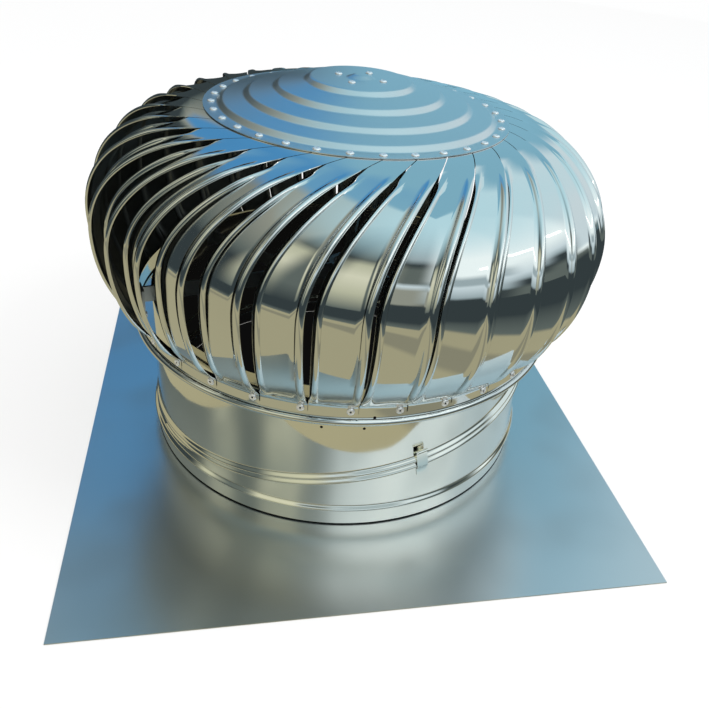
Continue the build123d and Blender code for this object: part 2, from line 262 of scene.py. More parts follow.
def sheet_marks() -> bpy.types.NodeTree:
    """Builds the shared group of marks that every sheet finish carries.

    Returns:
        A shader group with Height and Smudge outputs.
    """
    tree = bpy.data.node_groups.new("sheet_marks", "ShaderNodeTree")
    for name, kind in (
        ("Place", "NodeSocketVector"),
        ("Grain Place", "NodeSocketVector"),
        ("Ripple Scale", "NodeSocketFloat"),
        ("Ripple", "NodeSocketFloat"),
        ("Grain", "NodeSocketFloat"),
    ):
        tree.interface.new_socket(name, in_out="INPUT", socket_type=kind)
    for name in ("Height", "Smudge"):
        tree.interface.new_socket(name, in_out="OUTPUT", socket_type="NodeSocketFloat")
    nodes, links = tree.nodes, tree.links
    start, end = nodes.new("NodeGroupInput"), nodes.new("NodeGroupOutput")

    def noise(place: str, scale: float, detail: float) -> bpy.types.Node:
        """A noise field on one of the group's coordinates."""
        node = nodes.new("ShaderNodeTexNoise")
        node.inputs["Scale"].default_value = scale
        node.inputs["Detail"].default_value = detail
        links.new(start.outputs[place], node.inputs["Vector"])
        return node

    ripple = noise("Place", 1.0, 0.0)
    links.new(start.outputs["Ripple Scale"], ripple.inputs["Scale"])
    grain = noise("Grain Place", 1.0, 1.0)
    waves = worked_out(tree, "MULTIPLY", ripple.outputs["Fac"], start.outputs["Ripple"])
    lines = worked_out(tree, "MULTIPLY", grain.outputs["Fac"], start.outputs["Grain"])
    links.new(worked_out(tree, "ADD", waves, lines), end.inputs["Height"])
    smudge = noise("Place", SMUDGE_SCALE, 1.0)
    edge = nodes.new("ShaderNodeMapRange")
    edge.interpolation_type = "SMOOTHSTEP"
    edge.inputs["From Min"].default_value, edge.inputs["From Max"].default_value = SMUDGE_EDGE
    links.new(smudge.outputs["Fac"], edge.inputs["Value"])
    links.new(edge.outputs["Result"], end.inputs["Smudge"])
    return tree


def dress(piece: bpy.types.Object, material: bpy.types.Material) -> None:
    """Gives a piece its finish."""
    piece.data.materials.clear()
    piece.data.materials.append(material)


@dataclass(frozen=True)
class SectionRing:
    """One round section of a lathed or oblique shell, in millimetres."""

    origin: Vector
    along: Vector
    across: Vector
    normal: Vector
    radius: float
    lift: float

    def point(self, turn: float) -> Vector:
        """The section's point at a turn from its along direction."""
        flat = self.along * math.cos(turn) + self.across * math.sin(turn)
        return self.origin + flat * self.radius + self.normal * self.lift


def round_shell(name: str, rings: list[SectionRing], segments: int = 192) -> bpy.types.Object:
    """A closed shell through round sections, the last joined to the first.

    Args:
        name: The piece's name.
        rings: The sections around the wall's own profile.
        segments: Straight runs around each section.

    Returns:
        The piece.
    """
    points = [ring.point(2 * math.pi * k / segments) for ring in rings for k in range(segments)]
    faces = []
    for here in range(len(rings)):
        there = (here + 1) % len(rings)
        if rings[here].radius == 0 and rings[there].radius == 0:
            continue
        faces += joined(here * segments, there * segments, segments)
    return mesh_piece(name, points, faces)


def level_ring(radius: float, height: float, heading: float = 0.0) -> SectionRing:
    """A level section centred on the neck axis."""
    along = Vector((math.cos(heading), math.sin(heading), 0))
    up = Vector((0, 0, 1))
    return SectionRing(Vector((0, 0, height)), along, up.cross(along), up, radius, 0.0)


@dataclass
class Vanes:
    """The head's swept strips, with a rolled bead along both long edges."""

    count: int = 32
    sheet: float = 0.8
    foot_radius: float = 268.6
    foot_height: float = 189.0
    foot_turn: float = 52.3
    flange: float = 11.0
    foot_bend: float = 2.5
    bulge_radius: float = 311.0
    bulge_height: float = 306.0
    cap_radius: float = 181.0
    top_height: float = 428.3
    tab: float = 15.0
    sweep: float = 28.75
    sweep_power: float = 2.1
    rivet_inset: float = 9.4
    heading: float = 208.7
    slit: float = 1.2
    gap: float = 7.0
    lift: float = 3.0
    tuck: float = 13.0
    bead_width: float = 9.0
    bead_rise: float = 3.0
    bead_fullness: float = 0.7
    bead_steps: int = 12
    flat_steps: int = 6
    spans: int = 48
    closed_share: float = 0.93
    fade_power: float = 0.7
    bead_growth: float = 0.1
    bead_end: float = 0.88
    bead_runout: float = 0.08

    def columns(self) -> list[Point]:
        """Stations across a strip, as (side, share). Side is 0 on the flat between the two beads."""
        bead = [step / self.bead_steps for step in range(self.bead_steps + 1)]
        flat = [step / self.flat_steps for step in range(1, self.flat_steps)]
        left = [(-1.0, share) for share in bead]
        right = [(1.0, share) for share in reversed(bead)]
        return [*left, *[(0.0, share) for share in flat], *right]

    def section(
        self, radius: float, height: float, tilt: float, sweep: float, share: float
    ) -> list[Vector]:
        """One cross-section of a strip.

        Args:
            radius: Distance from the spin axis.
            height: Height above the plate's underside.
            tilt: Turn of the strip's face up from level, in degrees.
            sweep: Heading of the outer edge past the foot, in degrees.
            share: Place along the strip's arc.

        Returns:
            The outer face's points followed by the inner face's, in reverse.
        """
        opening = math.sin(math.pi * min(share / self.closed_share, 1.0)) ** self.fade_power
        bead_share = min(1.0, share / self.bead_growth, (self.bead_end - share) / self.bead_runout)
        rise_here = self.bead_rise * max(0.0, bead_share)
        pitch = 2 * math.pi / self.count
        width = pitch * radius - self.slit - (self.gap - self.slit) * opening
        edge = width / 2
        band = edge - self.bead_width
        middle = math.radians(sweep) - edge / radius
        out, up = math.cos(math.radians(tilt)), math.sin(math.radians(tilt))

        def corner(along: float, rise: float) -> Vector:
            """A point of the section from its own flat coordinates."""
            lean = along / width + 0.5
            lifted = rise + (self.lift * lean - self.tuck * (1 - lean)) * opening
            lifted -= out * along**2 / (2 * radius)
            reach = radius + lifted * out
            x = reach * math.cos(middle) - along * math.sin(middle)
            y = reach * math.sin(middle) + along * math.cos(middle)
            return Vector((x, y, height + lifted * up))

        outer, inner = [], []
        for side, place in self.columns():
            along = side * (edge - place * self.bead_width) if side else band * (2 * place - 1)
            bead = rise_here * math.sin(math.pi * place) ** self.bead_fullness if side else 0.0
            outer.append(corner(along, bead + self.sheet / 2))
            inner.append(corner(along, bead - self.sheet / 2))
        return [*outer, *reversed(inner)]

    def sections(self) -> list[list[Vector]]:
        """The strip's cross-sections at heading zero, from its foot flange to its cap tab."""
        foot = math.radians(self.foot_turn)
        low_run = (self.bulge_radius - self.foot_radius) / (1 - math.cos(foot))
        low_rise = (self.bulge_height - self.foot_height) / math.sin(foot)
        high_run = self.bulge_radius - self.cap_radius
        high_rise = self.top_height - self.bulge_height
        rivet_turn = 90 + self.rivet_inset / math.radians(high_run)

        def sweep(turn: float) -> float:
            """How far round the strip has swept at a turn of its arc."""
            return self.sweep * (max(turn, 0) / rivet_turn) ** self.sweep_power

        drops = (self.flange, self.foot_bend)
        result = [self.section(self.foot_radius, self.foot_height - drop, 0, 0, 0) for drop in drops]
        for span in range(self.spans + 1):
            share = span / self.spans
            turn = -self.foot_turn + share * (90 + self.foot_turn)
            run, rise = (low_run, low_rise) if turn < 0 else (high_run, high_rise)
            radius = self.bulge_radius - run * (1 - math.cos(math.radians(turn)))
            height = self.bulge_height + rise * math.sin(math.radians(turn))
            tilt = turn / 2 if span == 0 else turn
            result.append(self.section(radius, height, tilt, sweep(turn), share))
        tab_turn = 90 + self.tab / math.radians(high_run)
        result.append(self.section(self.cap_radius - self.tab, self.top_height, 90, sweep(tab_turn), 1))
        return result

    def build(self, outside: bpy.types.Material, inside: bpy.types.Material) -> None:
        """Makes every strip in place of its plain one.

        Args:
            outside: The polished face's finish.
            inside: The reverse face's finish: dull, and darkened as painted shade inside the head.
        """
        sections = self.sections()
        size = len(sections[0])
        faces = [tuple(range(size)), tuple(len(sections) * size - 1 - k for k in range(size))]
        for row in range(len(sections) - 1):
            faces += joined(row * size, (row + 1) * size, size)
        for index in range(self.count):
            node = f"vane_{index + 1:02d}"
            turn = Matrix.Rotation(math.radians(self.heading + 360 * index / self.count), 3, "Z")
            points = [turn @ point for section in sections for point in section]
            piece = mesh_piece(f"{node}_strip", points, faces)
            dress(piece, outside)
            piece.data.materials.append(inside)
            # Reverse faces take the darkened finish: painted shade inside the head.
            for face, corners in zip(piece.data.polygons, faces):
                face.material_index = int(min(corner % size for corner in corners) >= size // 2)
            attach(piece, "rotor")
            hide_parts(node)
        log.info("%d vanes", self.count)


@dataclass
class Cap:
    """The stepped disc on top of the head."""

    radius: float = 181.0
    rim_height: float = 430.0
    sheet: float = 1.0
    riser_radii: tuple[float, ...] = (165.5, 135.5, 102.0, 66.0)
    riser_run: float = 6.5
    riser_rise: float = 5.8
    tread_slope: float = 0.145
    boss_radius: float = 16.0
    boss_run: float = 8.0
    boss_rise: float = 4.0
    press_radius: float = 2.0

    def build(self, material: bpy.types.Material) -> None:
        """Makes the cap in place of its plain one.

        Args:
            material: The cap's finish.
        """
        height, last_edge = self.rim_height, self.riser_radii[0]
        corners = [(self.radius, height)]
        for foot in self.riser_radii:
            height += (last_edge - foot) * self.tread_slope
            corners.append((foot, height))
            height += self.riser_rise
            last_edge = foot - self.riser_run
            corners.append((last_edge, height))
        top = height + self.boss_rise
        corners += [(self.boss_radius, height), (self.boss_radius - self.boss_run, top), (0.0, top)]
        outside = rounded(corners, self.press_radius)
        inside = [(radius, level - self.sheet) for radius, level in reversed(outside)]
        piece = round_shell("cap_sheet", [level_ring(*corner) for corner in [*outside, *inside]])
        dress(piece, material)
        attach(piece, "rotor")
        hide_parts("top_cap")
        log.info("cap")


@dataclass
class Skirt:
    """The ring at the foot of the head."""

    radius: float = 267.0
    sheet: float = 0.8
    foot_height: float = 164.0
    top_height: float = 193.0
    bead_width: float = 9.0
    bead_rise: float = 5.0

    def build(self, material: bpy.types.Material) -> None:
        """Makes the ring in place of its plain one.

        Args:
            material: The ring's finish.
        """
        outside = half_round(self.radius, self.foot_height, self.bead_width, self.bead_rise)
        outside.append((self.radius, self.top_height))
        inside = [(radius - self.sheet, height) for radius, height in reversed(outside)]
        piece = round_shell("skirt_sheet", [level_ring(*corner) for corner in [*outside, *inside]])
        dress(piece, material)
        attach(piece, "rotor")
        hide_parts("skirt_ring")
        log.info("skirt")


@dataclass
class Neck:
    """The two gores that turn on each other in an oblique plane."""

    radius: float = 250.0
    sheet: float = 1.0
    foot: float = 1.0
    height: float = 199.0
    fit: float = 0.5
    bead_height: float = 28.0
    bead_width: float = 8.0
    bead_rise: float = 4.0
    bead_edge: float = 0.6
    bead_nose: float = 0.21
    under_steps: int = 4
    flank_steps: int = 8
    swivel_height: float = 84.002
    swivel_pitch: float = 9.5
    swivel_heading: float = 5.4
    swivel_gap: float = 0.3
    sleeve: float = 8.0

    def oblique(self, radius: float, lift: float) -> SectionRing:
        """A round section in the swivel plane, lifted along the swivel axis."""
        heading, pitch = math.radians(self.swivel_heading), math.radians(self.swivel_pitch)
        flat = Vector((math.cos(heading), math.sin(heading), 0))
        up = Vector((0, 0, 1))
        along = flat * math.cos(pitch) + up * math.sin(pitch)
        normal = up * math.cos(pitch) - flat * math.sin(pitch)
        centre = Vector((0, 0, self.swivel_height))
        return SectionRing(centre, along, normal.cross(along), normal, radius, lift)

    def level(self, radius: float, height: float) -> SectionRing:
        """A level section that starts at the swivel's heading."""
        return level_ring(radius, height, math.radians(self.swivel_heading))

    def bead(self, low: float) -> list[Point]:
        """A pressed bead with a short round underside and a long upper flank.

        Args:
            low: Height of the bead's lower edge.

        Returns:
            Its (radius, height) corners, from the lower edge up.
        """
        turns = [math.pi / 2 * step / self.under_steps for step in range(self.under_steps + 1)]
        shares = [(math.sin(turn), self.bead_nose * (1 - math.cos(turn))) for turn in turns]
        for step in range(1, self.flank_steps + 1):
            along = step / self.flank_steps
            wave = (1 + math.cos(math.pi * along)) / 2
            shares.append(((wave + 1 - along) / 2, self.bead_nose + (1 - self.bead_nose) * along))
        return [(self.radius + out * self.bead_rise, low + up * self.bead_width) for out, up in shares]

    def build(self, material: bpy.types.Material) -> None:
        """Makes both gores in place of the plain ones.

        Args:
            material: The gores' finish.
        """
        bore = self.radius - self.sheet
        foot_bead = self.bead(self.bead_height - self.bead_width / 2)
        foot_bead.append((self.radius, foot_bead[-1][1] + self.bead_edge))
        low_wall = [self.level(self.radius, self.foot), *[self.level(*corner) for corner in foot_bead]]
        low_rim = self.bead(-self.bead_width)
        guide = bore - self.fit
        low_rim += [(guide, 0.0), (guide, self.sleeve), (guide - self.sheet, self.sleeve)]
        low_rim += [(guide - self.sheet, -self.bead_width / 2), (bore, -self.bead_width)]
        low_inner = [(radius - self.sheet, height) for radius, height in reversed(foot_bead)]
        low_inner.append((bore, self.foot))
        rings = [*low_wall, *[self.oblique(*corner) for corner in low_rim]]
        rings += [self.level(*corner) for corner in low_inner]
        lower = round_shell("lower_gore", rings)
        rim_bead = self.bead(self.swivel_gap)
        rim_bead.append((self.radius, rim_bead[-1][1] + self.bead_edge))
        mouth = self.swivel_height + self.radius * math.sin(math.radians(self.swivel_pitch))
        mouth += self.swivel_gap + 2 * self.bead_width
        rings = [self.oblique(*corner) for corner in rim_bead]
        rings += [self.level(self.radius, mouth), self.level(self.radius, self.height)]
        rings += [self.level(bore, self.height), self.level(bore, mouth)]
        rings += [self.oblique(radius - self.sheet, lift) for radius, lift in reversed(rim_bead)]
        upper = round_shell("upper_gore", rings)
        for piece, body, node in ((lower, "base", "lower_neck"), (upper, "neck", "upper_neck")):
            dress(piece, material)
            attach(piece, body)
            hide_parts(node)
        log.info("neck")


@dataclass
class FootShadowLine:
    """A near-black ring round the neck's lower edge on the plate: a painted shadow line where the neck meets
    the plate.
    """

    neck: Neck
    height: float = 2.0
    proud: float = 0.12
    sunk: float = 0.05

    def build(self, material: bpy.types.Material) -> None:
        """Makes the painted shadow line.

        Args:
            material: Its finish.
        """
        inner, outer = self.neck.radius - self.sunk, self.neck.radius + self.proud
        low, high = self.neck.foot, self.neck.foot + self.height
        corners = ((inner, low), (outer, low), (outer, high), (inner, high))
        piece = round_shell("foot_shadow_line", [self.neck.level(*corner) for corner in corners])
        dress(piece, material)
        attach(piece, "base")
        log.info("foot shadow line")


@dataclass(frozen=True)
class RivetRing:
    """A ring of rivet heads, in millimetres and degrees."""

    node: str
    body: str
    count: int
    radius: float
    height: float
    heading: float
    facing: Facing


@dataclass
class Rivets:
    """Domed rivet heads set out in rings by one Geometry Nodes tree."""

    head_radius: float = 4.4
    head_rise: float = 2.0
    dimple: float = 0.55
    dimple_share: float = 0.36
    core_mark: str = "core"
    head_segments: int = 18
    head_rings: int = 12
    crease: float = 60.0

    def tree(self, material: bpy.types.Material, core: bpy.types.Material) -> bpy.types.NodeTree:
        """Builds the tree that sets out a ring of heads.

        Args:
            material: The heads' finish.
            core: The near-black finish of the hollow in each head, painted shade.

        Returns:
            The tree.
        """
        tree = bpy.data.node_groups.new("rivet_ring", "GeometryNodeTree")
        tree.interface.new_socket("Heads", in_out="OUTPUT", socket_type="NodeSocketGeometry")
        tree.interface.new_socket("Count", in_out="INPUT", socket_type="NodeSocketInt")
        for name in ("Ring Radius", "Height", "Heading", "Tip", "Head Radius", "Head Rise"):
            tree.interface.new_socket(name, in_out="INPUT", socket_type="NodeSocketFloat")
        nodes, links = tree.nodes, tree.links
        start, end = nodes.new("NodeGroupInput"), nodes.new("NodeGroupOutput")

        worked = partial(worked_out, tree)

        def vector(*parts: object) -> bpy.types.NodeSocket:
            """A vector from three sockets or numbers."""
            node = nodes.new("ShaderNodeCombineXYZ")
            feed(tree, node.inputs, parts)
            return node.outputs[0]

        index = nodes.new("GeometryNodeInputIndex").outputs[0]
        step = worked("DIVIDE", 2 * math.pi, start.outputs["Count"])
        turn = worked("ADD", worked("MULTIPLY", index, step), start.outputs["Heading"])
        x = worked("MULTIPLY", worked("COSINE", turn), start.outputs["Ring Radius"])
        y = worked("MULTIPLY", worked("SINE", turn), start.outputs["Ring Radius"])
        places = nodes.new("GeometryNodePoints")
        links.new(start.outputs["Count"], places.inputs["Count"])
        links.new(vector(x, y, start.outputs["Height"]), places.inputs["Position"])
        ball = nodes.new("GeometryNodeMeshUVSphere")
        ball.inputs["Segments"].default_value = self.head_segments
        ball.inputs["Rings"].default_value = self.head_rings
        links.new(start.outputs["Head Radius"], ball.inputs["Radius"])
        spot = nodes.new("ShaderNodeSeparateXYZ")
        links.new(nodes.new("GeometryNodeInputPosition").outputs[0], spot.inputs[0])
        share = worked("DIVIDE", start.outputs["Head Rise"], start.outputs["Head Radius"])
        across = nodes.new("ShaderNodeVectorMath")
        across.operation = "LENGTH"
        links.new(vector(spot.outputs["X"], spot.outputs["Y"], 0.0), across.inputs[0])
        mouth = worked("MULTIPLY", start.outputs["Head Radius"], self.dimple_share)
        within = worked("LESS_THAN", across.outputs["Value"], mouth)
        sunk = worked("MULTIPLY", within, self.dimple)
        dome = worked("MULTIPLY", worked("MAXIMUM", spot.outputs["Z"], 0.0), share)
        domed = worked("MULTIPLY", dome, worked("SUBTRACT", 1.0, sunk))
        flatten = nodes.new("GeometryNodeSetPosition")
        links.new(ball.outputs["Mesh"], flatten.inputs["Geometry"])
        links.new(vector(spot.outputs["X"], spot.outputs["Y"], domed), flatten.inputs["Position"])
        keep = nodes.new("GeometryNodeStoreNamedAttribute")
        keep.data_type, keep.domain = "BOOLEAN", "FACE"
        keep.inputs["Name"].default_value = self.core_mark
        links.new(flatten.outputs[0], keep.inputs["Geometry"])
        links.new(within, keep.inputs["Value"])
        spread = nodes.new("GeometryNodeInstanceOnPoints")
        links.new(places.outputs[0], spread.inputs["Points"])
        links.new(keep.outputs[0], spread.inputs["Instance"])
        links.new(vector(0.0, start.outputs["Tip"], turn), spread.inputs["Rotation"])
        solid = nodes.new("GeometryNodeRealizeInstances")
        links.new(spread.outputs[0], solid.inputs[0])
        finish = nodes.new("GeometryNodeSetMaterial")
        finish.inputs["Material"].default_value = material
        links.new(solid.outputs[0], finish.inputs["Geometry"])
        marked = nodes.new("GeometryNodeInputNamedAttribute")
        marked.data_type = "BOOLEAN"
        marked.inputs["Name"].default_value = self.core_mark
        # The hollow in each head takes the near-black finish as painted shade.
        hollow = nodes.new("GeometryNodeSetMaterial")
        hollow.inputs["Material"].default_value = core
        links.new(finish.outputs[0], hollow.inputs["Geometry"])
        links.new(marked.outputs["Attribute"], hollow.inputs["Selection"])
        links.new(hollow.outputs[0], end.inputs["Heads"])
        return tree

    def build(
        self, rings: list[RivetRing], material: bpy.types.Material, core: bpy.types.Material
    ) -> None:
        """Makes each ring of heads in place of its plain one.

        Args:
            rings: The rings to set out.
            material: The heads' finish.
            core: The near-black finish of the hollow in each head, painted shade.
        """
        tree = self.tree(material, core)
        inputs = [item for item in tree.interface.items_tree if item.in_out == "INPUT"]
        sockets = {item.name: item.identifier for item in inputs}
        for ring in rings:
            setting = f"{ring.node}_setting"
            carrier = bpy.data.objects.new(setting, bpy.data.meshes.new(setting))
            bpy.context.scene.collection.objects.link(carrier)
            modifier = carrier.modifiers.new("heads", "NODES")
            modifier.node_group = tree
            modifier[sockets["Count"]] = ring.count
            modifier[sockets["Ring Radius"]] = ring.radius * MM
            modifier[sockets["Height"]] = ring.height * MM
            modifier[sockets["Heading"]] = math.radians(ring.heading)
            modifier[sockets["Tip"]] = ring.facing.value
            modifier[sockets["Head Radius"]] = self.head_radius * MM
            modifier[sockets["Head Rise"]] = self.head_rise * MM
            graph = bpy.context.evaluated_depsgraph_get()
            mesh = bpy.data.meshes.new_from_object(carrier.evaluated_get(graph))
            carrier.modifiers.remove(modifier)
            bpy.data.objects.remove(carrier)
            mesh.attributes.remove(mesh.attributes[self.core_mark])
            mesh.shade_smooth()
            mesh.set_sharp_from_angle(angle=math.radians(self.crease))
            piece = bpy.data.objects.new(f"{ring.node}_heads", mesh)
            bpy.context.scene.collection.objects.link(piece)
            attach(piece, ring.body)
            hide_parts(ring.node)
            log.info("%s: %d heads", ring.node, ring.count)


RIVET_RINGS = [
    RivetRing("cap_rivets", "rotor", 32, 171.6, 430.15, 235.85, Facing.UP),
    RivetRing("skirt_rivets", "rotor", 32, 269.15, 183.5, 207.1, Facing.OUTWARD),
    RivetRing("housing_rivets", "rotor", 4, 28.0, 464.95, 60.0, Facing.UP),
]


@dataclass
class SeamStrap:
    """The small strap over the swivel seam. It sits on the lower gore and laps over both beads."""

    neck: Neck
    heading: float = 284.2
    width: float = 13.0
    sheet: float = 0.8
    seat: float = 0.3
    clearance: float = 0.4
    foot: float = -23.0
    knee: float = -12.0
    top: float = 17.0
    roll: float = 2.0
    roll_steps: int = 8
    columns: int = 6

    def loop(self) -> list[Point]:
        """The strap's closed section, as (radius, lift) about the swivel axis."""
        wall = self.neck.radius + self.seat
        crest = self.neck.radius + self.neck.bead_rise + self.clearance
        inside = [(wall, self.foot), (wall, self.knee)]
        inside += [(crest, -self.neck.bead_width), (crest, self.top)]
        rolled = []
        for step in range(1, self.roll_steps + 1):
            turn = math.pi * step / self.roll_steps
            out, up = self.roll * (1 - math.cos(turn)), self.roll * math.sin(turn)
            rolled.append((crest + out, self.top + up))
        outside = [(radius + self.sheet, lift) for radius, lift in reversed(inside[:-1])]
        return [*inside, *rolled, (crest + self.sheet, self.top - self.roll), *outside]

    def build(self, material: bpy.types.Material) -> None:
        """Makes the strap.

        Args:
            material: The strap's finish.
        """
        loop = self.loop()
        size, span = len(loop), self.width / self.neck.radius
        middle = math.radians(self.heading - self.neck.swivel_heading)
        last = self.columns * size
        points, faces = [], [tuple(range(size)), tuple(last + k for k in reversed(range(size)))]
        for column in range(self.columns + 1):
            turn = middle + span * (column / self.columns - 0.5)
            points += [self.neck.oblique(*corner).point(turn) for corner in loop]
        for column in range(self.columns):
            faces += joined(column * size, (column + 1) * size, size)
        piece = mesh_piece("seam_strap", points, faces)
        dress(piece, material)
        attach(piece, "base")
        log.info("seam strap")


@dataclass(frozen=True)
class PunchMark:
    """A small punched hole in an upright wall."""

    name: str
    body: str
    wall_radius: float
    height: float
    headings: tuple[float, ...]
    hole_radius: float = 1.7
    proud: float = 0.06
    sides: int = 12

    def build(self, material: bpy.types.Material) -> None:
        """Makes the holes' mouths as near-black discs, painted shade inside each hole.

        Args:
            material: Their finish.
        """
        points, faces = [], []
        for heading in self.headings:
            out = Matrix.Rotation(math.radians(heading), 3, "Z") @ Vector((1, 0, 0))
            aside = Vector((0, 0, 1)).cross(out)
            for level in (-self.proud, self.proud):
                start = len(points)
                middle = out * (self.wall_radius + level) + Vector((0, 0, self.height))
                for k in range(self.sides):
                    turn = 2 * math.pi * k / self.sides
                    arm = aside * math.cos(turn) + Vector((0, 0, 1)) * math.sin(turn)
                    points.append(middle + arm * self.hole_radius)
                faces.append(tuple(range(start, start + self.sides)))
            faces += joined(start - self.sides, start, self.sides)
        piece = mesh_piece(self.name, points, faces)
        dress(piece, material)
        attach(piece, self.body)
        log.info("%s: %d holes", self.name, len(self.headings))


PUNCH_MARKS = [
    PunchMark("neck_punches", "neck", 250.0, 145.5, (256.75, 267.5)),
    PunchMark("skirt_punch", "rotor", 267.0, 174.1, (269.0,)),
]


class Tone(Enum):
    """Plain stage tones for polished steel to mirror."""

    DARK = (0.04, 0.055, 0.06)
    SHADE = (0.13, 0.16, 0.15)
    STONE = (0.32, 0.34, 0.29)
    CREAM = (0.56, 0.58, 0.43)
    IVORY = (0.76, 0.77, 0.60)
    SLATE = (0.38, 0.48, 0.52)
    MIST = (0.68, 0.81, 0.87)
    WHITE = (1.0, 1.12, 1.14)
    PALE_BLUE = (0.54, 0.82, 0.92)
    SKY_BLUE = (0.24, 0.50, 0.65)
    BLUE = (0.08, 0.30, 0.60)
    SAND = (0.42, 0.40, 0.26)
    DAMP_SAND = (0.285, 0.28, 0.20)


Bands = tuple[tuple[float, Tone], ...]

BACK = (
    (0.0, Tone.DARK), (0.29, Tone.DARK), (0.33, Tone.SHADE), (0.38, Tone.STONE), (0.42, Tone.BLUE),
    (0.62, Tone.BLUE), (1.0, Tone.SKY_BLUE),
)
LEFT_DARK = (
    (0.0, Tone.DARK), (0.38, Tone.DARK), (0.5, Tone.SHADE), (0.75, Tone.STONE), (1.0, Tone.PALE_BLUE),
)
LEFT_PALE = (
    (0.0, Tone.SHADE), (0.3, Tone.CREAM), (0.55, Tone.IVORY), (0.7, Tone.CREAM), (0.76, Tone.SHADE),
    (1.0, Tone.PALE_BLUE),
)
LEFT_SHADE = (
    (0.0, Tone.DARK), (0.3, Tone.SHADE), (0.6, Tone.SHADE), (0.76, Tone.DARK), (1.0, Tone.PALE_BLUE),
)
FRONT_GREY = (
    (0.0, Tone.DARK), (0.1, Tone.DARK), (0.13, Tone.STONE), (0.38, Tone.STONE), (0.45, Tone.MIST),
    (0.5, Tone.SHADE), (0.68, Tone.SHADE), (0.74, Tone.DARK), (0.8, Tone.SLATE), (1.0, Tone.PALE_BLUE),
)
FRONT_BRIGHT = (
    (0.0, Tone.DARK), (0.13, Tone.DARK), (0.18, Tone.SLATE), (0.36, Tone.MIST), (0.4, Tone.SLATE),
    (0.48, Tone.SLATE), (0.55, Tone.WHITE), (0.75, Tone.WHITE), (1.0, Tone.PALE_BLUE),
)
RIGHT_BRIGHT = (
    (0.0, Tone.SHADE), (0.12, Tone.SHADE), (0.19, Tone.DARK), (0.25, Tone.DARK), (0.3, Tone.SLATE),
    (0.38, Tone.MIST), (0.6, Tone.WHITE), (1.0, Tone.PALE_BLUE),
)
RIGHT_EDGE = (
    (0.0, Tone.SHADE), (0.2, Tone.SHADE), (0.28, Tone.DARK), (0.35, Tone.DARK), (0.4, Tone.SLATE),
    (0.46, Tone.MIST), (0.6, Tone.WHITE), (1.0, Tone.PALE_BLUE),
)
RIGHT_PALE = (
    (0.0, Tone.DARK), (0.07, Tone.SHADE), (0.13, Tone.WHITE), (0.18, Tone.MIST), (0.6, Tone.MIST),
    (1.0, Tone.PALE_BLUE),
)
RIGHT_HAZE = ((0.0, Tone.SKY_BLUE), (0.3, Tone.MIST), (0.5, Tone.MIST), (1.0, Tone.PALE_BLUE))
RIGHT_BLUE = ((0.0, Tone.SKY_BLUE), (1.0, Tone.SKY_BLUE))
GROUND = (
    (0.0, Tone.SAND), (0.56, Tone.SAND), (0.58, Tone.DAMP_SAND), (0.66, Tone.DAMP_SAND),
    (0.68, Tone.SAND), (0.77, Tone.SAND), (0.79, Tone.SHADE), (1.0, Tone.DARK),
)


@dataclass(frozen=True)
class Sector:
    """A stretch of the surround, from a turn to the right of the front."""

    start: float
    bands: Bands


